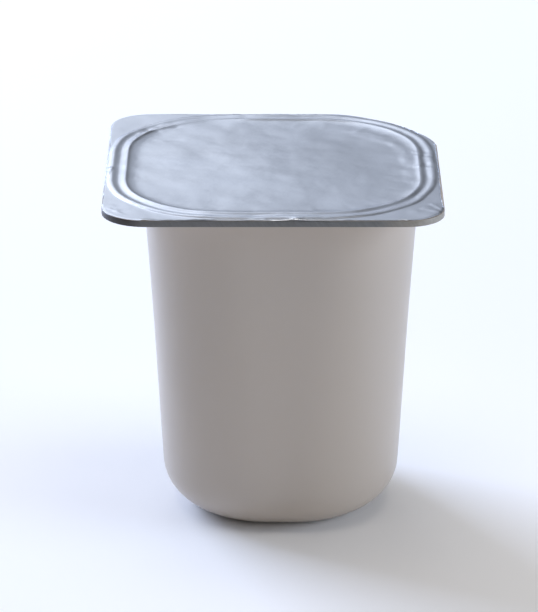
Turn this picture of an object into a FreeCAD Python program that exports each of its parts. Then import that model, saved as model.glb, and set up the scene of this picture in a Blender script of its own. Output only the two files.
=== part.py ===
import FreeCAD, Part
import os
from math import atan2, hypot, pi, sqrt

import Sketcher

# A single-serve yogurt pot, millimetres, +Z up. The origin is on the standing plane, under the middle of the
# square rim. The pot is one solid with its contents, because it is shut. The foil lid lies on its flange.

SIZES = {
    "pot_height": 65.8,          # standing plane to the top of the flange
    "rim_width": 62.0,           # flange, left to right
    "rim_depth": 62.0,           # flange, front to back
    "flange_thick": 1.15,
    "corner_front_left": 8.0,    # outline radii of the flange's three plain corners
    "corner_front_right": 7.0,
    "corner_back_left": 7.0,
    "snap_radius": 31.0,         # the back right corner is a flat arc, where the pot snapped off its strip
    "snap_angle": 31.0,          # direction of the arc's nearest point to the outer ridge, in degrees
    "snap_margin": 0.85,         # foil left between that ridge and the arc
    "snap_blend": 8.0,           # radius that eases the arc into the straight sides
    "reach_left": 7.05,          # how far the flange stands out past the wall on each side
    "reach_right": 4.05,
    "reach_front": 5.55,
    "reach_back": 5.55,
    "mouth_flat": 15.2,          # straight part of the wall's sides, under the flange
    "foot_flat": 4.6,            # and at the foot, where the section is nearly round
    "wall_taper": 3.64,          # how far each side draws in from flange to foot
    "wall_sag": 0.14,            # hollow of the wall halfway up
    "foot_radius": 8.8,          # rounding between wall and base
    "neck_radius": 0.5,          # rounding between wall and flange
    "base_ring": 3.0,            # width of the ring that the pot stands on
    "base_hollow": 1.1,          # depth of the hollow inside the ring
    "foil_thick": 0.10,
    "foil_inset": 0.12,          # flange left bare around the foil
    "outer_margin": 1.2,         # crest of the outer ridge, in from the rim's edge
    "outer_flat": 17.6,          # straight part of that ridge's sides
    "outer_width": 1.0,
    "outer_height": 0.18,
    "seal_band": 2.3,            # from the outer ridge's crest to the inner one's
    "inner_width": 0.9,
    "inner_height": 0.28,
    "crest_share": 0.9,          # how much of a ridge's height its rounded top takes
    "pan_margin": 0.7,           # from the inner ridge's crest to the top of the pan's slope
    "pan_slope": 2.4,            # width of that slope
    "pan_depth": 0.40,
}

# Formulas that several sketches share. Each is a name and an expression over the sizes and earlier formulas.
FORMULAS = [
    ("flange_level", "pot_height - flange_thick"),
    ("mouth_left", "rim_width / 2 - reach_left"),
    ("mouth_right", "rim_width / 2 - reach_right"),
    ("mouth_front", "rim_depth / 2 - reach_front"),
    ("mouth_back", "rim_depth / 2 - reach_back"),
    ("mouth_half", "min(mouth_left + mouth_right; mouth_front + mouth_back) / 2"),
    ("mouth_corner", "mouth_half - mouth_flat / 2"),
    ("foot_corner", "mouth_half - wall_taper - foot_flat / 2"),
    ("outer_half_x", "rim_width / 2 - outer_margin"),
    ("outer_half_y", "rim_depth / 2 - outer_margin"),
    ("outer_corner", "min(outer_half_x; outer_half_y) - outer_flat / 2"),
    ("inner_half_x", "outer_half_x - seal_band"),
    ("inner_half_y", "outer_half_y - seal_band"),
    ("inner_corner", "outer_corner - seal_band"),
    ("snap_back", "snap_radius - outer_corner - snap_margin"),
    ("snap_x", "outer_half_x - outer_corner - snap_back * cos(snap_angle * 1deg)"),
    ("snap_y", "outer_half_y - outer_corner - snap_back * sin(snap_angle * 1deg)"),
]

TOUCH = 0.01                     # how near a point has to be to count as on a level or an outline
LEAST_CUT = 100.0                # volume that the base hollow and the pan take away at the very least

doc = FreeCAD.newDocument("YogurtPot")


def make_sheet():
    """The spreadsheet of driving sizes, with the shared formulas below them."""
    sheet = doc.addObject("Spreadsheet::Sheet", "Sizes")
    cells = [(name, str(value)) for name, value in SIZES.items()]
    cells += [(name, "=" + formula) for name, formula in FORMULAS]
    for row, (name, content) in enumerate(cells, 1):
        sheet.set(f"A{row}", name)
        sheet.set(f"B{row}", content)
        sheet.setAlias(f"B{row}", name)
    doc.recompute()
    return sheet


sheet = make_sheet()


def size(name):
    """The value of a size or formula in the sheet."""
    value = sheet.get(name)
    return float(getattr(value, "Value", value))


def cell(expression):
    """An expression over the sheet's names, spelled the way another object refers to them."""
    names = list(SIZES) + [name for name, _ in FORMULAS]
    return " ".join("Sizes." + word if word in names else word for word in expression.split(" "))


def evaluate(expression):
    """The number that an expression over the sheet's names gives now, to start a sketch from."""
    value = sheet.evalExpression(cell(expression))
    return float(getattr(value, "Value", value))


def new_body(label):
    body = doc.addObject("PartDesign::Body", label.title().replace("_", ""))
    body.Label = label
    return body


def new_sketch(body, name, level):
    """A sketch parallel to the body's XY plane, at a height given by an expression."""
    plane = [f for f in body.Origin.OriginFeatures if f.Role == "XY_Plane"][0]
    sketch = body.newObject("Sketcher::SketchObject", name)
    sketch.AttachmentSupport = [(plane, "")]
    sketch.MapMode = "FlatFace"
    sketch.setExpression("AttachmentOffset.Base.z", cell(level))
    return sketch


def bind(sketch, constraint, expression):
    """Adds a dimension and ties it to an expression over the sheet."""
    index = sketch.addConstraint(constraint)
    sketch.setExpression(f"Constraints[{index}]", cell(expression))


def line(start, end):
    return Part.LineSegment(FreeCAD.Vector(*start, 0), FreeCAD.Vector(*end, 0))


def arc(centre, radius, start, end):
    """An arc from one angle to another, in quarter turns, anticlockwise."""
    circle = Part.Circle(FreeCAD.Vector(*centre, 0), FreeCAD.Vector(0, 0, 1), radius)
    return Part.ArcOfCircle(circle, start * pi / 2, end * pi / 2)


def direction(centre, point):
    """The direction from a centre to a point, in quarter turns from +X."""
    return atan2(point[1] - centre[1], point[0] - centre[0]) / (pi / 2)


def close_tangent(sketch, first, count):
    """Joins each edge of a ring of edges to the next one, smoothly."""
    for i in range(count):
        sketch.addConstraint(Sketcher.Constraint("Tangent", first + i, 2, first + (i + 1) % count, 1))


def square_up(sketch, front, right, back, left, sides):
    """Sets the four straight sides level and upright, each at its own distance from the origin."""
    for edge in (front, back):
        sketch.addConstraint(Sketcher.Constraint("Horizontal", edge))
    for edge in (right, left):
        sketch.addConstraint(Sketcher.Constraint("Vertical", edge))
    for edge, expression in zip((front, right, back, left), sides):
        bind(sketch, Sketcher.Constraint("Distance", -1, 1, edge, evaluate(expression)), expression)


def rounded_ring(sketch, sides, corner):
    """A rounded rectangle. sides are the distances of the front, right, back and left side from the origin."""
    front, right, back, left = [evaluate(s) for s in sides]
    r = evaluate(corner)
    edges = [
        line((r - left, -front), (right - r, -front)),
        arc((right - r, r - front), r, -1, 0),
        line((right, r - front), (right, back - r)),
        arc((right - r, back - r), r, 0, 1),
        line((right - r, back), (r - left, back)),
        arc((r - left, back - r), r, 1, 2),
        line((-left, back - r), (-left, r - front)),
        arc((r - left, r - front), r, 2, 3),
    ]
    first = sketch.addGeometry(edges, False)[0]
    close_tangent(sketch, first, len(edges))
    square_up(sketch, first, first + 2, first + 4, first + 6, sides)
    for i in (1, 3, 5, 7):
        bind(sketch, Sketcher.Constraint("Radius", first + i, r), corner)


def rim_outline(sketch, inset):
    """The flange's outline, or the foil's, which is smaller by the inset all round."""
    off = evaluate(inset)
    x, y = evaluate("rim_width / 2") - off, evaluate("rim_depth / 2") - off
    front_left = size("corner_front_left") - off
    front_right = size("corner_front_right") - off
    back_left = size("corner_back_left") - off
    big, blend = size("snap_radius") - off, size("snap_blend") - off
    snap = (size("snap_x"), size("snap_y"))
    low = (x - blend, snap[1] + sqrt((big - blend) ** 2 - (x - blend - snap[0]) ** 2))
    high = (snap[0] + sqrt((big - blend) ** 2 - (y - blend - snap[1]) ** 2), y - blend)
    low_turn, high_turn = direction(snap, low), direction(snap, high)
    edges = [
        line((front_left - x, -y), (x - front_right, -y)),
        arc((x - front_right, front_right - y), front_right, -1, 0),
        line((x, front_right - y), (x, low[1])),
        arc(low, blend, 0, low_turn),
        arc(snap, big, low_turn, high_turn),
        arc(high, blend, high_turn, 1),
        line((high[0], y), (back_left - x, y)),
        arc((back_left - x, y - back_left), back_left, 1, 2),
        line((-x, y - back_left), (-x, front_left - y)),
        arc((front_left - x, front_left - y), front_left, 2, 3),
    ]
    sketch.addGeometry(edges, False)
    close_tangent(sketch, 0, len(edges))
    half_width, half_depth = f"rim_width / 2 - {inset}", f"rim_depth / 2 - {inset}"
    square_up(sketch, 0, 2, 6, 8, (half_depth, half_width, half_depth, half_width))
    for edge, name in ((1, "corner_front_right"), (3, "snap_blend"), (4, "snap_radius"), (5, "snap_blend"),
                       (7, "corner_back_left"), (9, "corner_front_left")):
        bind(sketch, Sketcher.Constraint("Radius", edge, size(name) - off), f"{name} - {inset}")
    bind(sketch, Sketcher.Constraint("DistanceX", -1, 1, 4, 3, snap[0]), "snap_x")
    bind(sketch, Sketcher.Constraint("DistanceY", -1, 1, 4, 3, snap[1]), "snap_y")


def wall_section(body, name, level, draw_in, corner):
    """One cross-section of the pot's wall, drawn in from the mouth by a given amount."""
    sketch = new_sketch(body, name, level)
    sides = [f"{side} - ( {draw_in} )" for side in ("mouth_front", "mouth_right", "mouth_back", "mouth_left")]
    rounded_ring(sketch, sides, corner)
    return sketch


def loop(body, name, level, around, grow):
    """One rounded square that follows a ridge, larger or smaller than its crest by grow."""
    sketch = new_sketch(body, name, level)
    add_loop(sketch, around, grow)
    return sketch


def add_loop(sketch, around, grow):
    half_x, half_y = f"{around}_half_x + {grow}", f"{around}_half_y + {grow}"
    rounded_ring(sketch, (half_y, half_x, half_y, half_x), f"{around}_corner + {grow}")


def feature(body, kind, name, profile, **settings):
    made = body.newObject("PartDesign::" + kind, name)
    made.Profile = profile
    for key, value in settings.items():
        setattr(made, key, value)
    return made


def edges_of(shape, chosen):
    """Names of a shape's edges whose midpoint passes a test."""
    names = []
    for number, edge in enumerate(shape.Edges, 1):
        middle = edge.valueAt((edge.FirstParameter + edge.LastParameter) / 2)
        if chosen(middle):
            names.append(f"Edge{number}")
    return names


def round_edges(body, name, base, chosen, radius):
    """Rounds the base feature's edges that pass the test."""
    doc.recompute()
    fillet = body.newObject("PartDesign::Fillet", name)
    fillet.Base = (base, edges_of(base.Shape, chosen))
    fillet.setExpression("Radius", cell(radius))
    return fillet


def make_pot():
    """The cup: a lofted wall with a rounded foot, a flat flange, a hollow base and a shallow pan on top."""
    body = new_body("pot")
    foot = wall_section(body, "FootSection", "0", "wall_taper", "foot_corner")
    waist = wall_section(body, "WaistSection", "flange_level / 2", "wall_taper / 2 + wall_sag",
                         "( mouth_corner + foot_corner ) / 2")
    mouth = wall_section(body, "MouthSection", "flange_level", "0", "mouth_corner")
    wall = feature(body, "AdditiveLoft", "Wall", foot, Sections=[waist, mouth], Ruled=False)
    round_edges(body, "RoundedFoot", wall, lambda p: abs(p.z) < TOUCH, "foot_radius")

    outline = new_sketch(body, "FlangeOutline", "flange_level")
    rim_outline(outline, "0")
    flange = feature(body, "Pad", "Flange", outline)
    flange.setExpression("Length", cell("flange_thick"))
    doc.recompute()
    volume = flange.Shape.Volume

    ring = new_sketch(body, "BaseHollowOutline", "0")
    inner = "wall_taper + foot_radius + base_ring"
    sides = [f"{side} - ( {inner} )" for side in ("mouth_front", "mouth_right", "mouth_back", "mouth_left")]
    rounded_ring(ring, sides, "foot_corner - foot_radius - base_ring")
    hollow = feature(body, "Pocket", "BaseHollow", ring, Type="Length", Reversed=True, TaperAngle=-45)
    hollow.setExpression("Length", cell("base_hollow"))

    pan_top = loop(body, "PanTop", "pot_height", "inner", "0 - pan_margin")
    pan_floor = loop(body, "PanFloor", "pot_height - pan_depth", "inner", "0 - pan_margin - pan_slope")
    feature(body, "SubtractiveLoft", "Pan", pan_top, Sections=[pan_floor], Ruled=True)
    doc.recompute()
    if body.Shape.Volume > volume - LEAST_CUT:
        raise ValueError("the base hollow or the pan cut nothing")
    round_edges(body, "Neck", body.Tip, at_neck, "neck_radius")
    return body


def at_neck(point):
    """True for a point on the mouth's section, where the wall meets the underside of the flange."""
    left, right = size("mouth_left"), size("mouth_right")
    front, back = size("mouth_front"), size("mouth_back")
    corner = size("mouth_corner")
    x = abs(point.x - (right - left) / 2) - (right + left) / 2 + corner
    y = abs(point.y - (back - front) / 2) - (back + front) / 2 + corner
    off_section = hypot(max(x, 0), max(y, 0)) + min(max(x, y), 0) - corner
    return abs(point.z - size("flange_level")) < TOUCH and abs(off_section) < TOUCH


def make_lid():
    """The foil: a thin sheet with a pan pressed into the mouth and two low rounded ridges around it."""
    body = new_body("foil_lid")
    outline = new_sketch(body, "FoilOutline", "pot_height")
    rim_outline(outline, "foil_inset")
    sheet_pad = feature(body, "Pad", "Foil", outline)
    sheet_pad.setExpression("Length", cell("foil_thick"))

    under_top = loop(body, "UnderPanTop", "pot_height", "inner", "0 - pan_margin")
    under_floor = loop(body, "UnderPanFloor", "pot_height - pan_depth", "inner", "0 - pan_margin - pan_slope")
    feature(body, "AdditiveLoft", "PanUnderside", under_top, Sections=[under_floor], Ruled=True)
    over_top = loop(body, "OverPanTop", "pot_height + foil_thick", "inner", "0 - pan_margin")
    over_floor = loop(body, "OverPanFloor", "pot_height + foil_thick - pan_depth", "inner",
                      "0 - pan_margin - pan_slope")
    feature(body, "SubtractiveLoft", "PanTopside", over_top, Sections=[over_floor], Ruled=True)

    for around in ("outer", "inner"):
        ridge = new_sketch(body, around.title() + "RidgeOutline", "pot_height + foil_thick")
        add_loop(ridge, around, f"{around}_width / 2")
        add_loop(ridge, around, f"0 - {around}_width / 2")
        pad = feature(body, "Pad", around.title() + "Ridge", ridge)
        pad.setExpression("Length", cell(f"{around}_height"))
        crest = size("pot_height") + size("foil_thick") + size(f"{around}_height")
        round_edges(body, around.title() + "Crest", pad, lambda p: abs(p.z - crest) < TOUCH,
                    f"{around}_height * crest_share")
    return body


bodies = [make_pot(), make_lid()]
doc.recompute()

for item in doc.Objects:
    faults = {"Invalid", "Error"} & set(item.State)
    if faults:
        raise ValueError(f"{item.Name} is {sorted(faults)}")

os.makedirs("parts", exist_ok=True)
for body in bodies:
    if body.Shape.isNull() or not body.Shape.isValid() or len(body.Shape.Solids) != 1:
        raise ValueError(f"{body.Label} isn't one valid solid")
    print(body.Label, round(body.Shape.Volume), "mm3", body.Shape.BoundBox)
for body in bodies:
    body.Shape.exportStep(f"parts/{body.Label}.step")
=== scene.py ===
import random
from math import cos, hypot, pi, radians, sin

import bmesh
import bpy
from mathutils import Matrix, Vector


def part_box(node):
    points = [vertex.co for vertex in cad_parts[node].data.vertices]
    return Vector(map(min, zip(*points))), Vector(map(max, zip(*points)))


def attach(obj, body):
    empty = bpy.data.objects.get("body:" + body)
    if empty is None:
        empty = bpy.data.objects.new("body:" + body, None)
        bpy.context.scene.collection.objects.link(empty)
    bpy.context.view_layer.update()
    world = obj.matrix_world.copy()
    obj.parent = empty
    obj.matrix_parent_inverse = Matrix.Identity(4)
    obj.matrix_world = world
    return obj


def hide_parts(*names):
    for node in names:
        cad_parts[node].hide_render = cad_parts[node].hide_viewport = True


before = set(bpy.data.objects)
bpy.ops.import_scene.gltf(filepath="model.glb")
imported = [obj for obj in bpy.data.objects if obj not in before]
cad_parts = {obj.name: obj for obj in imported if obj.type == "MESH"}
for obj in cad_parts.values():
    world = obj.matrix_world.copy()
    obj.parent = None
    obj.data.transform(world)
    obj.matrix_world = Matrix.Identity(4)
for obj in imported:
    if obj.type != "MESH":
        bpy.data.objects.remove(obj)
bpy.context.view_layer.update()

# A shut single-serve yogurt pot: a thermoformed polystyrene cup and the foil lid sealed on its flange.
# The script works in metres. Sizes of the pot itself are given in millimetres, times MM.
MM = 0.001

CUP_LOW, CUP_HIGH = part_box("pot")
FOIL_LOW, FOIL_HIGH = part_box("foil_lid")

# The flange, and the rounded square of the wall under it
RIM_HALF = CUP_HIGH.x
RIM_TOP = CUP_HIGH.z
FLANGE_THICK = 1.15 * MM
FLANGE_UNDER = RIM_TOP - FLANGE_THICK
FLANGE_EDGE = 0.12 * MM          # how much the shear rounds the flange's edges
CUP_AXIS = 1.5 * MM              # the cup was formed this far to the right of the flange's middle
MOUTH_HALF = RIM_HALF - 5.55 * MM
MOUTH_CORNER = 17.85 * MM
FOOT_HALF = MOUTH_HALF - 3.64 * MM
FOOT_CORNER = 19.5 * MM
WALL_SAG = 0.14 * MM
FOOT_RADIUS = 8.8 * MM
NECK_RADIUS = 0.5 * MM
BASE_RING = 3.0 * MM
BASE_HOLLOW = 1.1 * MM
BASE_STEPS = ((0.5, -0.3), (0.6, -0.55), (0.6, -0.15))   # the hollow's edge, as shares of its depth
BASE_RINGS = (0.8, 0.75, 0.67, 0.5, 0.3)                 # each ring inside it, as a share of the one before
WALL_LEAST = 30 * MM             # the wall's upright edges are longer than this, and all others shorter
WALL_CUTS = 15
WAIST_BAND = 3 * MM              # the rings this near the waist are drawn in,
WAIST_REACH = 26 * MM            # and the wall follows as far as this above and below them
NECK_SPREAD = 1.13               # the mouth's corners are at most this share of MOUTH_HALF from the axis
CUP_SMOOTH = 40                  # degrees

# The flange's corners: the side each is on, its radius and its profile, where less than 0.5 is flatter than
# a round. The back right one is the flat arc where the pot snapped off its strip.
RIM_CORNERS = (
    ((-1, -1), 8.0 * MM, 0.5),
    ((1, -1), 7.0 * MM, 0.5),
    ((1, 1), 18.6 * MM, 0.4),
    ((-1, 1), 7.0 * MM, 0.5),
)
CORNER_STEPS = 12
SIDE_STEPS = 8
SIDE_LEAST = 3.5 * MM            # straight sides are longer than this, and a rounded corner's edges shorter

# The foil: its edge, the loop where the outer ridge starts, and the cross-section from there inwards, as
# steps (how far in, height above the flat foil) in millimetres.
FOIL_THICK = 0.06 * MM
FOIL_TOP = RIM_TOP + 0.10 * MM
FOIL_HALF = FOIL_HIGH.x
RIDGE_START = FOIL_HALF - 0.10 * MM
RIDGE_CORNER = 22.1 * MM
SNAP_EXTRA = 0.9 * MM            # the ridges are rounder behind the snapped-off corner
RIDGE_ROUNDNESS = 3.2            # 2 would be a circle, and more is squarer
BAND_CUTS = 4
FOIL_SMOOTH = 60                 # degrees
FOIL_SECTION = (
    (0.25, 0.05), (0.50, 0.16), (0.75, 0.24), (1.00, 0.28), (1.25, 0.25), (1.60, 0.14), (1.95, 0.05),
    (2.30, 0.01), (2.60, 0.05), (2.95, 0.14), (3.30, 0.25), (3.55, 0.29), (3.70, 0.27), (4.00, 0.15),
    (4.45, 0.02), (5.20, -0.10), (6.10, -0.15), (7.30, -0.16),
)
PAN_RINGS = 14
PUCKERS = 30                     # short creases around the pan, and knocks on the outer ridge
PUCKER_START = (24.8, 26.0)      # where the creases start and the knocks lie, in mm out from the middle
KNOCK_LINE = 29.3
FRAYS = 26                       # small knocks along the front edge
FRAY_RUN = (-24, 24)             # where they lie, in mm
FRAY_LINE = (-30.8, -30.3)
PUCKER_SEED, FRAY_SEED = 4, 9
LEAN_OUT = 28.3 * MM             # the outer ridge's crest lies further out than this, and higher than that
LEAN_UP = 0.2 * MM
LEAN_FROM = (10 * MM, -18 * MM)  # right of the one and behind the other
LEAN = (0.992, 0.992, 0.9)       # how much of its place and height the leaning crest keeps
LEAN_REACH = 2.0 * MM
RIGHT_RELIEF = 0.62              # the ridges are pressed less deep on the right, from here outwards
RIGHT_FROM, RIGHT_REACH = 24 * MM, 10 * MM
BACK_RELIEF = 0.55               # and at the back left
BACK_FROM, BACK_REACH = (-9 * MM, 24 * MM), 7 * MM
RIM_TURN = 0.06 * MM             # how far the sheet's edge is pressed down over the flange's edge
RIM_REACH = 0.35 * MM
PAN_DOME = 0.34 * MM             # the sheet over the yogurt bulges a little
DOME_REACH = 25 * MM
HOLLOW_MIDDLE = 0.3              # the clouds' grey that stays at its height, so more is raised than sunk
SOFT_HOLLOWS = 9 * MM, 0.25 * MM   # how far apart the sheet's soft hollows are, and how deep
FINE_HOLLOWS = 2.6 * MM, 0.035 * MM

# Where the lid was knocked, in millimetres: (place), how wide, how far up
FOIL_DENTS = (
    ((-24.0, 20.9), 1.5, -0.14), ((-22.9, 22.4), 1.2, 0.12), ((-21.9, 20.6), 1.4, -0.10),
    ((-20.1, 24.9), 1.6, 0.08), ((-18.4, 23.4), 1.3, -0.08), ((-25.2, 18.6), 1.2, 0.07),
    ((29.0, 7.9), 1.5, -0.12), ((29.1, 4.4), 1.3, 0.07), ((28.9, 0.2), 1.6, -0.12), ((28.6, 12.0), 1.4, 0.08),
    ((25.0, 3.0), 1.6, 0.08), ((24.4, -1.0), 1.5, -0.06), ((24.9, 9.0), 1.8, 0.07),
    ((-29.1, -23.1), 1.3, 0.07), ((-27.9, -25.6), 1.2, 0.06), ((-26.6, -22.6), 1.6, 0.05),
    ((27.6, -24.2), 1.5, 0.12), ((29.6, -22.4), 1.3, 0.09), ((29.2, -26.2), 1.4, 0.10),
    ((25.6, -26.6), 1.6, 0.08),
    ((-24.1, 9.0), 5.0, -0.04), ((-20.0, -14.0), 5.0, -0.06), ((7.0, 0.0), 8.0, -0.07),
    ((14.0, -4.0), 6.0, 0.05), ((-18.0, 4.0), 7.0, 0.10), ((26.5, 3.0), 5.0, 0.09),
    ((22.5, 14.5), 4.5, 0.07), ((29.4, -28.6), 4.0, 0.08), ((11.0, 16.0), 5.0, -0.06),
    ((21.5, 16.0), 4.0, 0.07), ((21.7, -3.0), 4.0, -0.06),
)
FOIL_CREASES = (
    ((-26.4, 14.6), (-17.5, 15.3), 0.8, -0.035), ((-24.4, 18.9), (-21.2, 24.0), 0.5, 0.07),
    ((-22.6, 21.0), (-18.0, 23.0), 0.5, -0.05), ((26.6, -24.6), (29.8, -26.4), 0.5, 0.07),
    ((28.6, -22.0), (30.3, -24.8), 0.5, 0.06), ((-29.9, -24.0), (-27.2, -27.4), 0.5, 0.05),
    ((27.0, 6.0), (30.2, 4.6), 0.5, -0.05), ((26.6, -1.0), (30.2, -2.2), 0.5, 0.05),
    ((14.0, 21.0), (23.0, 12.5), 1.2, 0.04), ((-30.7, -6.0), (-30.2, -2.2), 0.6, 0.12),
    ((23.0, 8.6), (26.6, 7.4), 0.5, 0.05), ((25.3, -10.0), (25.2, -3.0), 1.5, 0.05),
    ((25.2, 1.0), (24.9, 6.5), 1.7, 0.07), ((24.4, 9.5), (22.6, 14.0), 1.5, 0.06),
    ((21.3, 16.4), (16.0, 20.8), 1.6, 0.05),
)

# Where its edge falls short: (place), over what length, how far inwards
FOIL_NICKS = (
    ((30.88, -17.0), 9.5, (-0.32, 0)), ((30.88, -9.0), 2.5, (-0.12, 0)), ((-30.88, -3.9), 1.6, (0.08, 0)),
    ((5.7, -30.88), 0.9, (0, 0.22)), ((-21.6, -30.88), 1.2, (0, 0.18)), ((2.5, -30.88), 0.7, (0, 0.12)),
    ((-8.0, -30.88), 3.0, (0, 0.08)), ((15.0, -30.88), 4.0, (0, 0.07)), ((-30.88, 12.0), 4.0, (0.12, 0)),
    ((-12.0, 30.88), 5.0, (0, -0.15)), ((4.0, 30.88), 4.0, (0, -0.10)),
)

SUNK_HALF = RIDGE_START - 3.5 * MM    # the floor under the foil, which follows its pan a little lower
SUNK_CORNER = RIDGE_CORNER - 3.5 * MM
SUNK_SLOPE = 1.8 * MM
SUNK_DEPTH = 0.6 * MM

POT_MIDDLE = Vector((0, 0, RIM_TOP / 2))
CAMERA_PITCH = 20.6              # degrees
CAMERA_DISTANCE = 740.5 * MM
CAMERA_LENS = 230.9              # its focal length, for a sensor 36 wide
CAMERA_LEFT, CAMERA_DROP = -0.72 * MM, 27.97 * MM   # where it aims, from the middle of the foil
TINY = 0.02 * MM
APART = 10 * MM                  # how far two level loops are held apart while they are bridged
CAP_SIDES = 50                   # a face that closes a loop has more sides than this
EDGE_GRIP = 0.3 * MM             # how near a nick's middle the edge's points are taken hold of
LINE_GRIP = 0.25 * MM            # how near a crease's line the sheet's points are


# ---------------------------------------------------------------- modelling by hand, in edit mode


def start_square(name, half, centre, level):
    """A plane to start from, with its place in its mesh."""
    bpy.ops.object.select_all(action="DESELECT")
    bpy.ops.mesh.primitive_plane_add(size=2 * half, location=(centre[0], centre[1], level))
    piece = bpy.context.object
    piece.name = piece.data.name = name
    bpy.ops.object.transform_apply(location=True, rotation=True, scale=True)
    bpy.ops.object.mode_set(mode="EDIT")
    return piece


def choose(piece, kind, test):
    """Selects only the vertices, edges or faces that pass the test."""
    bpy.ops.mesh.select_mode(type=kind)
    bpy.ops.mesh.select_all(action="DESELECT")
    mesh = bmesh.from_edit_mesh(piece.data)
    parts = {"VERT": mesh.verts, "EDGE": mesh.edges, "FACE": mesh.faces}[kind]
    for part in parts:
        if test(part):
            part.select_set(True)
    bmesh.update_edit_mesh(piece.data)


def level_edge(level):
    """A test for edges that lie at a height."""
    return lambda e: all(abs(v.co.z - level) < TINY for v in e.verts)


def longer(least):
    """A test for edges longer than a length."""
    return lambda e: (e.verts[0].co - e.verts[1].co).length > least


def cap(level):
    """A test for the one many-sided face that closes a loop at a height."""
    return lambda f: len(f.verts) > CAP_SIDES and abs(f.calc_center_median().z - level) < TINY


def round_corners(piece, centre, corners):
    """Rounds a square's corners, each by its own radius and profile."""
    for (side_x, side_y), radius, profile in corners:
        choose(piece, "VERT", lambda v: (v.co.x - centre[0]) * side_x > 0
               and (v.co.y - centre[1]) * side_y > 0)
        bpy.ops.mesh.bevel(offset=radius, offset_type="OFFSET", segments=CORNER_STEPS, profile=profile,
                           affect="VERTICES")


def rounded_square(name, half, centre, level, corners):
    """A flat rounded square. Every one has the same number of points, so that any two can be bridged."""
    piece = start_square(name, half, centre, level)
    round_corners(piece, centre, corners)
    choose(piece, "EDGE", longer(SIDE_LEAST))
    bpy.ops.mesh.subdivide(number_cuts=SIDE_STEPS - 1)
    bpy.ops.object.mode_set(mode="OBJECT")
    return piece


def even_corners(radius):
    return [(place, radius, 0.5) for place, _, _ in RIM_CORNERS]


def join(*pieces):
    """Joins pieces into the first one, and leaves it in edit mode."""
    bpy.ops.object.select_all(action="DESELECT")
    for piece in pieces:
        piece.select_set(True)
    bpy.context.view_layer.objects.active = pieces[0]
    bpy.ops.object.join()
    bpy.ops.object.mode_set(mode="EDIT")
    return pieces[0]


def move_above(piece, level, up):
    """Moves all that lies above a height."""
    choose(piece, "VERT", lambda v: v.co.z > level)
    bpy.ops.transform.translate(value=(0, 0, up))


def point_outwards():
    bpy.ops.mesh.select_all(action="SELECT")
    bpy.ops.mesh.normals_make_consistent(inside=False)


def drop_face(piece, level):
    """Opens a loop at a height by deleting its face."""
    choose(piece, "FACE", cap(level))
    bpy.ops.mesh.delete(type="ONLY_FACE")


def close_up(piece, angle):
    """Merges doubles, points the faces outwards, and shades the piece smooth up to an angle."""
    bpy.ops.mesh.select_all(action="SELECT")
    bpy.ops.mesh.remove_doubles(threshold=0.002 * MM)
    bpy.ops.mesh.normals_make_consistent(inside=False)
    bpy.ops.object.mode_set(mode="OBJECT")
    bpy.ops.object.select_all(action="DESELECT")
    piece.select_set(True)
    bpy.context.view_layer.objects.active = piece
    bpy.ops.object.shade_smooth_by_angle(angle=radians(angle))


def apply_modifier(piece, kind, **settings):
    """Adds a modifier, sets it and applies it."""
    bpy.ops.object.mode_set(mode="OBJECT")
    modifier = piece.modifiers.new(kind.title(), kind)
    for name, value in settings.items():
        setattr(modifier, name, value)
    bpy.context.view_layer.objects.active = piece
    bpy.ops.object.modifier_apply(modifier=modifier.name)


# ---------------------------------------------------------------- the cup


def model_cup():
    """The formed cup: wall, rounded foot, hollow base and flange, closed on top by a floor under the foil."""
    middle = (CUP_AXIS, 0)
    mouth = rounded_square("cup", MOUTH_HALF, middle, FLANGE_UNDER, even_corners(MOUTH_CORNER))
    foot = rounded_square("foot", FOOT_HALF, middle, 0, even_corners(FOOT_CORNER))
    cup = join(mouth, foot)
    drop_face(cup, FLANGE_UNDER)
    choose(cup, "EDGE", lambda e: True)
    bpy.ops.mesh.bridge_edge_loops()
    point_outwards()
    form_foot(cup, middle)
    form_wall(cup, middle)
    bpy.ops.object.mode_set(mode="OBJECT")
    cup = join(cup, model_flange(APART))
    choose(cup, "EDGE", lambda e: e.is_boundary)
    bpy.ops.mesh.bridge_edge_loops()
    move_above(cup, FLANGE_UNDER + TINY, -APART)
    choose(cup, "EDGE", at_neck)
    bpy.ops.mesh.bevel(offset=NECK_RADIUS, segments=4, affect="EDGES")
    close_up(cup, CUP_SMOOTH)
    return cup


def finish_edge(cup):
    """Gives the flange's cut edge, all round, the cup's second material."""
    bpy.context.view_layer.objects.active = cup
    bpy.ops.object.mode_set(mode="EDIT")
    choose(cup, "FACE", lambda f: f.calc_center_median().z > FLANGE_UNDER + TINY and abs(f.normal.z) < 0.9)
    cup.active_material_index = 1
    bpy.ops.object.material_slot_assign()
    bpy.ops.object.mode_set(mode="OBJECT")


def at_neck(edge):
    """True for the edges where the wall meets the flange's underside."""
    if not level_edge(FLANGE_UNDER)(edge) or len(edge.link_faces) != 2:
        return False
    return min(abs(face.normal.z) for face in edge.link_faces) < 0.5 and all(
        hypot(v.co.x - CUP_AXIS, v.co.y) < MOUTH_HALF * NECK_SPREAD for v in edge.verts)


def form_foot(cup, middle):
    """Rounds the foot and presses the base in, which leaves the ring that the pot stands on."""
    choose(cup, "EDGE", level_edge(0))
    bpy.ops.mesh.bevel(offset=FOOT_RADIUS, segments=10, profile=0.5, affect="EDGES", clamp_overlap=False)
    choose(cup, "FACE", cap(0))
    bpy.ops.mesh.inset(thickness=BASE_RING)
    for inwards, up in BASE_STEPS:
        bpy.ops.mesh.inset(thickness=inwards * BASE_HOLLOW, depth=up * BASE_HOLLOW)
    for share in BASE_RINGS:
        bpy.ops.mesh.extrude_region_move()
        bpy.ops.transform.resize(value=(share, share, 1), center_override=(*middle, 0))
    bpy.ops.mesh.poke()


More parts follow.
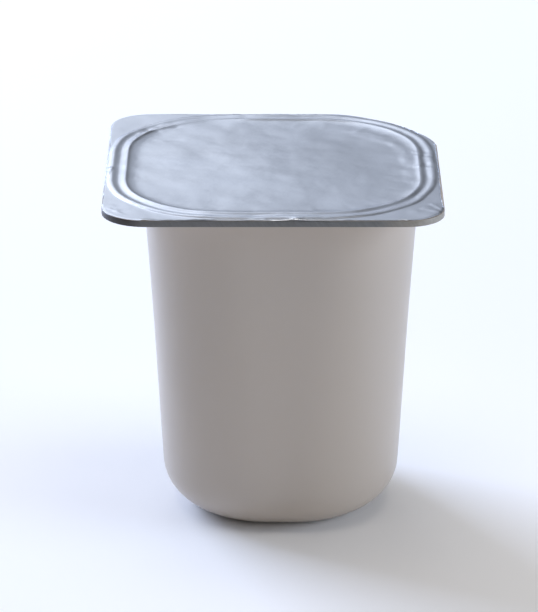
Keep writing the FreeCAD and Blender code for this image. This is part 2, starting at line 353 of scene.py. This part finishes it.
def form_wall(cup, middle):
    """Cuts the wall into rings and draws its waist in a little."""
    choose(cup, "EDGE", longer(WALL_LEAST))
    bpy.ops.mesh.subdivide(number_cuts=WALL_CUTS)
    waist = (FLANGE_UNDER + FOOT_RADIUS) / 2
    choose(cup, "VERT", lambda v: abs(v.co.z - waist) < WAIST_BAND)
    share = 1 - WALL_SAG / MOUTH_HALF
    bpy.ops.transform.resize(value=(share, share, 1), center_override=(*middle, waist),
                             use_proportional_edit=True, proportional_edit_falloff="SMOOTH",
                             proportional_size=WAIST_REACH)


def model_flange(lift):
    """The flange, lifted: a plate with lightly rounded edges, open below, and a sunk floor under the foil."""
    under, top = FLANGE_UNDER + lift, RIM_TOP + lift
    rim = rounded_square("flange", RIM_HALF, (0, 0), under, RIM_CORNERS)
    bpy.ops.object.mode_set(mode="EDIT")
    choose(rim, "FACE", cap(under))
    bpy.ops.mesh.extrude_region_move(TRANSFORM_OT_translate={"value": (0, 0, FLANGE_THICK)})
    drop_face(rim, under)
    choose(rim, "EDGE", level_edge(top))
    bpy.ops.mesh.bevel(offset=FLANGE_EDGE, segments=3, affect="EDGES")
    drop_face(rim, top)
    bpy.ops.object.mode_set(mode="OBJECT")
    sunk = rounded_square("sunk", SUNK_HALF, (0, 0), top + lift, even_corners(SUNK_CORNER))
    rim = join(rim, sunk)
    choose(rim, "EDGE", lambda e: level_edge(top + lift)(e) or (e.is_boundary and level_edge(top)(e)))
    bpy.ops.mesh.bridge_edge_loops()
    move_above(rim, top + TINY, -lift)
    point_outwards()
    choose(rim, "FACE", cap(top))
    bpy.ops.mesh.inset(thickness=SUNK_SLOPE, depth=-SUNK_DEPTH)
    bpy.ops.mesh.poke()
    bpy.ops.object.mode_set(mode="OBJECT")
    return rim


# ---------------------------------------------------------------- the foil lid


def model_foil():
    """The lid: a sheet of foil pressed into two ridges around the seal, and a shallow pan inside them."""
    corners = [(place, radius - (RIM_HALF - FOIL_HALF), profile) for place, radius, profile in RIM_CORNERS]
    edge = rounded_square("foil", FOIL_HALF, (0, 0), FOIL_TOP, corners)
    bpy.ops.object.mode_set(mode="EDIT")
    drop_face(edge, FOIL_TOP)
    bpy.ops.object.mode_set(mode="OBJECT")
    corners = [(place, RIDGE_CORNER + (SNAP_EXTRA if place == (1, 1) else 0), 0.5)
               for place, _, _ in RIM_CORNERS]
    ridge = rounded_square("ridge", RIDGE_START, (0, 0), FOIL_TOP + APART, corners)
    foil = join(edge, ridge)
    choose(foil, "EDGE", lambda e: True)
    bpy.ops.mesh.bridge_edge_loops(number_cuts=BAND_CUTS, interpolation="LINEAR")
    bpy.ops.mesh.select_all(action="SELECT")
    bpy.ops.transform.resize(value=(1, 1, 0), center_override=(0, 0, FOIL_TOP))
    choose(foil, "FACE", cap(FOIL_TOP))
    press_ridges()
    for share in [1 - 1 / (PAN_RINGS - ring) for ring in range(PAN_RINGS - 1)]:
        bpy.ops.mesh.extrude_region_move()
        bpy.ops.transform.resize(value=(share, share, 1), center_override=(0, 0, FOIL_TOP))
    bpy.ops.mesh.poke()
    close_up(foil, FOIL_SMOOTH)
    apply_modifier(foil, "SUBSURF", levels=2, render_levels=2)
    handle(foil)
    apply_modifier(foil, "SOLIDIFY", thickness=FOIL_THICK, offset=-1)
    bpy.ops.object.shade_smooth_by_angle(angle=radians(FOIL_SMOOTH))
    return foil


def handle(foil):
    """What filling, sealing and hands did to the sheet: a bulge, hollows, creases and crumpled corners."""
    bpy.ops.object.mode_set(mode="EDIT")
    push(foil, (0, 0), DOME_REACH, PAN_DOME)
    for place, size, up in FOIL_DENTS:
        push(foil, (place[0] * MM, place[1] * MM), size * MM, up * MM)
    pucker(foil)
    lean_ridge(foil)
    choose(foil, "VERT", lambda v: v.co.x < BACK_FROM[0] and v.co.y > BACK_FROM[1])
    bpy.ops.transform.resize(value=(1, 1, BACK_RELIEF), center_override=(0, 0, FOIL_TOP),
                             use_proportional_edit=True, proportional_size=BACK_REACH)
    choose(foil, "VERT", lambda v: v.co.x > RIGHT_FROM)
    bpy.ops.transform.resize(value=(1, 1, RIGHT_RELIEF), center_override=(0, 0, FOIL_TOP),
                             use_proportional_edit=True, proportional_size=RIGHT_REACH)
    choose(foil, "VERT", lambda v: v.is_boundary)
    bpy.ops.transform.translate(value=(0, 0, -RIM_TURN), use_proportional_edit=True,
                                proportional_size=RIM_REACH)
    fray(foil)
    for place, size, move in FOIL_NICKS:
        nick(foil, Vector(place) * MM, size * MM, Vector((*move, 0)) * MM)
    for start, end, size, up in FOIL_CREASES:
        crease(foil, Vector(start) * MM, Vector(end) * MM, size * MM, up * MM)
    bpy.ops.object.mode_set(mode="OBJECT")
    for spacing, depth in (SOFT_HOLLOWS, FINE_HOLLOWS):
        hollows = bpy.data.textures.new("hollows", "CLOUDS")
        hollows.noise_scale = spacing
        hollows.noise_depth = 1
        apply_modifier(foil, "DISPLACE", texture=hollows, strength=depth, mid_level=HOLLOW_MIDDLE)


def pucker(foil):
    """Short creases that run inwards from the seal, and small knocks on the outer ridge, no two alike."""
    draw = random.Random(PUCKER_SEED)
    for turn in range(PUCKERS):
        angle = 2 * pi * (turn + draw.uniform(-0.4, 0.4)) / PUCKERS
        out = Vector((cos(angle), sin(angle)))
        reach = around(out) ** -1
        depth = draw.uniform(0.02, 0.05) * draw.choice((-1, 1)) * (1.3 if out.x > 0.6 else 0.7)
        start = out * reach * draw.uniform(*PUCKER_START) * MM
        end = start - out * draw.uniform(1.2, 4.0) * MM
        crease(foil, start, end, draw.uniform(0.5, 0.9) * MM, depth * MM)
        push(foil, out * reach * KNOCK_LINE * MM, draw.uniform(1.0, 2.2) * MM, draw.uniform(-0.05, 0.04) * MM)


def around(place):
    """How far out a place is, measured to a square as round as the ridges are."""
    return (abs(place.x) ** RIDGE_ROUNDNESS + abs(place.y) ** RIDGE_ROUNDNESS) ** (1 / RIDGE_ROUNDNESS)


def lean_ridge(foil):
    """Moves the outer ridge's crest inwards on the right, so that its outer side slopes more gently."""
    choose(foil, "VERT", lambda v: v.co.x > LEAN_FROM[0] and v.co.y > LEAN_FROM[1] and around(v.co) > LEAN_OUT
           and v.co.z > FOIL_TOP + LEAN_UP)
    bpy.ops.transform.resize(value=LEAN, center_override=(0, 0, FOIL_TOP),
                             use_proportional_edit=True, proportional_size=LEAN_REACH)


def fray(foil):
    """Small knocks along the sheet's front edge."""
    draw = random.Random(FRAY_SEED)
    for _ in range(FRAYS):
        place = (draw.uniform(*FRAY_RUN) * MM, draw.uniform(*FRAY_LINE) * MM)
        push(foil, place, draw.uniform(0.5, 1.1) * MM, draw.uniform(0.02, 0.07) * MM)


def nick(foil, place, size, move):
    """Draws the sheet's edge in around a place."""
    choose(foil, "VERT", lambda v: v.is_boundary and (v.co.xy - place).length < EDGE_GRIP)
    bpy.ops.transform.translate(value=move, use_proportional_edit=True, proportional_size=size)


def push(foil, place, size, up):
    """Pushes the sheet up or down around a place."""
    foil_mesh = bmesh.from_edit_mesh(foil.data)
    near = min((hypot(v.co.x - place[0], v.co.y - place[1]) for v in foil_mesh.verts))
    choose(foil, "VERT", lambda v: hypot(v.co.x - place[0], v.co.y - place[1]) < near + TINY)
    bpy.ops.transform.translate(value=(0, 0, up), use_proportional_edit=True, proportional_size=size,
                                proportional_edit_falloff="SMOOTH")


def crease(foil, start, end, size, up):
    """Raises or sinks the sheet along a line."""
    run = end - start

    def on_line(v):
        spot = v.co.xy - start
        along = min(1, max(0, spot.dot(run) / run.length_squared))
        return (spot - along * run).length < LINE_GRIP

    choose(foil, "VERT", on_line)
    bpy.ops.transform.translate(value=(0, 0, up), use_proportional_edit=True, proportional_size=size,
                                proportional_edit_falloff="SMOOTH")


def press_ridges():
    """Steps the chosen face inwards along the foil's cross-section."""
    before_in, before_up = 0, 0
    for inwards, up in FOIL_SECTION:
        bpy.ops.mesh.inset(thickness=(inwards - before_in) * MM, depth=(up - before_up) * MM)
        before_in, before_up = inwards, up


# ---------------------------------------------------------------- materials


def linear(colour, alpha=1.0):
    """An sRGB hex colour as the linear values that a shader takes."""
    values = [int(colour[i:i + 2], 16) / 255 for i in (1, 3, 5)]
    return [v / 12.92 if v <= 0.04045 else ((v + 0.055) / 1.055) ** 2.4 for v in values] + [alpha]


def add(tree, kind, inputs=None, **settings):
    """Adds a node with its settings. An input is a value, or an output of another node to link from."""
    node = tree.nodes.new(kind)
    for name, value in settings.items():
        setattr(node, name, value)
    for name, value in (inputs or {}).items():
        if isinstance(value, bpy.types.NodeSocket):
            tree.links.new(value, node.inputs[name])
        else:
            node.inputs[name].default_value = value
    return node


def set_ramp(ramp, tone_and_painted_light_stops):
    """Sets a colour ramp's stops, each a position and a colour."""
    stops = ramp.color_ramp.elements
    while len(stops) < len(tone_and_painted_light_stops):
        stops.new(1.0)
    for stop, (position, colour) in zip(stops, tone_and_painted_light_stops):
        stop.position = position
        stop.color = linear(colour)


def start_material(name):
    material = bpy.data.materials.new(name)
    material.use_nodes = True
    material.node_tree.nodes.clear()
    return material, material.node_tree


def close_material(tree, shader):
    add(tree, "ShaderNodeOutputMaterial", {"Surface": shader.outputs[0]})


def polystyrene():
    """White polystyrene sheet, drawn down hot: a soft gloss."""
    material, tree = start_material("thermoformed_polystyrene")
    place = add(tree, "ShaderNodeTexCoord").outputs["Object"]
    cloud = add(tree, "ShaderNodeTexNoise", {"Vector": place, "Scale": 1 / (9 * MM), "Detail": 3.0})
    gloss = add(tree, "ShaderNodeMapRange", {"Value": cloud.outputs["Fac"], "From Min": 0.3, "From Max": 0.7,
                                             "To Min": 0.29, "To Max": 0.36})
    peel = add(tree, "ShaderNodeTexNoise", {"Vector": place, "Scale": 1 / (1.2 * MM), "Detail": 2.0})
    skin = add(tree, "ShaderNodeBump", {"Height": peel.outputs["Fac"], "Strength": 0.04,
                                        "Distance": 0.05 * MM})
    shader = add(tree, "ShaderNodeBsdfPrincipled", {
        "Base Color": linear("#BDB1A4"), "Roughness": gloss.outputs["Result"], "IOR": 1.59,
        "Normal": skin.outputs["Normal"]})
    close_material(tree, shader)
    return material


def sheared_edge_with_painted_light():
    """The sheet's cut edge, smeared by the die: grey, half glossy, with slanting score marks, with painted
    shade darkening it at the left corner and painted light brightening it towards the right.
    """
    material, tree = start_material("sheared_polystyrene_with_painted_light")
    place = add(tree, "ShaderNodeTexCoord").outputs["Object"]
    slant = add(tree, "ShaderNodeMapping", {"Vector": place, "Rotation": (0, radians(35), 0)}).outputs[0]
    stretch = add(tree, "ShaderNodeVectorMath", {0: slant, 1: (1, 1, 0.12)}, operation="MULTIPLY").outputs[0]
    score = add(tree, "ShaderNodeTexNoise", {"Vector": stretch, "Scale": 1 / (0.5 * MM), "Detail": 3.0})
    # Across the pot the edge's own grey is darkened to near black at the left corner by painted shade, and
    # lightened towards the right corner by painted light.
    across = add(tree, "ShaderNodeSeparateXYZ", {"Vector": place}).outputs["X"]
    spread = add(tree, "ShaderNodeMapRange", {"Value": across, "From Min": -RIM_HALF, "From Max": RIM_HALF})
    grey = add(tree, "ShaderNodeValToRGB", {"Fac": spread.outputs["Result"]})
    tone_and_painted_light_stops = ((0.0, "#2E2926"), (0.08, "#393532"), (0.12, "#676665"), (0.8, "#6F706F"), (0.9, "#9A948A"))
    set_ramp(grey, tone_and_painted_light_stops)
    depth = add(tree, "ShaderNodeMapRange", {"Value": score.outputs["Fac"], "From Min": 0.3, "From Max": 0.7,
                                             "To Min": 0.88, "To Max": 1.1})
    scored = add(tree, "ShaderNodeVectorMath", {0: grey.outputs["Color"]}, operation="SCALE")
    tree.links.new(depth.outputs["Result"], scored.inputs["Scale"])
    marks = add(tree, "ShaderNodeBump", {"Height": score.outputs["Fac"], "Strength": 0.5,
                                         "Distance": 0.1 * MM})
    shader = add(tree, "ShaderNodeBsdfPrincipled", {
        "Base Color": scored.outputs["Vector"], "Roughness": 0.42, "IOR": 1.59,
        "Normal": marks.outputs["Normal"]})
    close_material(tree, shader)
    return material


def rolled_foil():
    """Rolled aluminium foil, satin side up: soft reflections that cloud and streak where it was handled."""
    material, tree = start_material("satin_rolled_aluminium")
    place = add(tree, "ShaderNodeTexCoord").outputs["Object"]
    cloud = add(tree, "ShaderNodeTexNoise", {"Vector": place, "Scale": 1 / (7 * MM), "Detail": 0.0})
    satin = add(tree, "ShaderNodeMapRange", {"Value": cloud.outputs["Fac"], "To Min": 0.285, "To Max": 0.345})
    rolled = add(tree, "ShaderNodeMapping", {"Vector": place, "Scale": (0.07, 1, 1)})
    lines = add(tree, "ShaderNodeTexNoise", {"Vector": rolled.outputs[0], "Scale": 1 / (0.5 * MM),
                                             "Detail": 1.0})
    rolling = add(tree, "ShaderNodeBump", {"Height": lines.outputs["Fac"], "Strength": 0.04,
                                           "Distance": 0.1 * MM})
    handled = add(tree, "ShaderNodeTexNoise", {"Vector": place, "Scale": 1 / (2.5 * MM), "Detail": 2.0})
    crinkle = add(tree, "ShaderNodeBump", {"Height": handled.outputs["Fac"], "Strength": 0.06,
                                           "Distance": 0.4 * MM, "Normal": rolling.outputs["Normal"]})
    shader = add(tree, "ShaderNodeBsdfPrincipled", {
        "Base Color": linear("#D3D9E3"), "Metallic": 1.0, "Roughness": satin.outputs["Result"],
        "Normal": crinkle.outputs["Normal"]})
    close_material(tree, shader)
    return material


def pale_floor():
    """Matt painted board, pale and plain."""
    material, tree = start_material("pale_matt_board")
    shader = add(tree, "ShaderNodeBsdfPrincipled", {"Base Color": linear("#FAF8F5"), "Roughness": 0.8})
    close_material(tree, shader)
    return material


# ---------------------------------------------------------------- floor, lights and camera


def add_floor():
    bpy.ops.object.select_all(action="DESELECT")
    bpy.ops.mesh.primitive_plane_add(size=12, location=(0, 0, 0))
    floor = bpy.context.object
    floor.name = "floor"
    floor.data.materials.append(pale_floor())


def add_softbox(name, turn, height, distance, size, brightness, colour):
    """A soft rectangular light that faces the pot. Its turn is from straight behind the pot to the right, and
    its height above the level, both in degrees."""
    light = bpy.data.lights.new(name, "AREA")
    light.shape = "RECTANGLE"
    light.size, light.size_y = size
    light.energy = brightness * pi * size[0] * size[1]
    light.color = linear(colour)[:3]
    box = bpy.data.objects.new(name, light)
    turn, height = radians(turn), radians(height)
    way = Vector((sin(turn) * cos(height), cos(turn) * cos(height), sin(height)))
    box.location = POT_MIDDLE + distance * way
    box.rotation_euler = way.to_track_quat("Z", "Y").to_euler()
    box.visible_camera = False
    bpy.context.scene.collection.objects.link(box)


def add_world():
    """Pale surroundings for the eye, and a dimmer, even fill of light."""
    world = bpy.data.worlds.new("studio")
    bpy.context.scene.world = world
    world.use_nodes = True
    tree = world.node_tree
    tree.nodes.clear()
    fill = add(tree, "ShaderNodeBackground", {"Color": linear("#E4E6EA"), "Strength": 0.13})
    seen = add(tree, "ShaderNodeBackground", {"Color": linear("#F7F8FA"), "Strength": 1.0})
    path = add(tree, "ShaderNodeLightPath")
    both = add(tree, "ShaderNodeMixShader", {0: path.outputs["Is Camera Ray"], 1: fill.outputs[0],
                                             2: seen.outputs[0]})
    add(tree, "ShaderNodeOutputWorld", {"Surface": both.outputs[0]})


def add_camera():
    """A long lens that looks down at the pot from the front."""
    pitch, distance = radians(CAMERA_PITCH), CAMERA_DISTANCE
    aim = Vector((CAMERA_LEFT, 0, FOIL_TOP - CAMERA_DROP))
    camera = bpy.data.objects.new("camera", bpy.data.cameras.new("camera"))
    camera.data.lens = CAMERA_LENS
    camera.data.sensor_width = 36
    camera.location = aim + distance * Vector((0, -cos(pitch), sin(pitch)))
    camera.rotation_euler = (radians(90) - pitch, 0, 0)
    bpy.context.scene.collection.objects.link(camera)
    bpy.context.scene.camera = camera


add_camera()
bpy.context.scene.view_settings.view_transform = "Standard"

cup = model_cup()
cup.data.materials.append(polystyrene())
cup.data.materials.append(sheared_edge_with_painted_light())
finish_edge(cup)
foil = model_foil()
foil.data.materials.append(rolled_foil())

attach(cup, "root")
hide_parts("pot")
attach(foil, "root")
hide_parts("foil_lid")

add_floor()
add_world()
add_softbox("top_softbox", 180, 86, 1.25, (1.0, 0.9), 2.06, "#FFF8F0")
add_softbox("front_softbox", 160, 28, 1.6, (1.3, 0.8), 0.32, "#FFFAF3")
add_softbox("back_softbox", 3.5, 31, 1.6, (0.33, 1.25), 0.46, "#DDE5F4")
add_softbox("back_left_softbox", -6, 31, 1.6, (0.24, 1.25), 1.05, "#E8EDF6")
add_softbox("bright_back_left_softbox", -20, 31, 1.6, (0.54, 1.25), 1.21, "#F1F3F8")
add_softbox("left_softbox", -44, 20, 1.6, (1.0, 1.0), 14.4, "#C9DBFF")
add_softbox("right_softbox", 102, 12, 1.25, (0.8, 0.9), 5.3, "#D9E8FF")
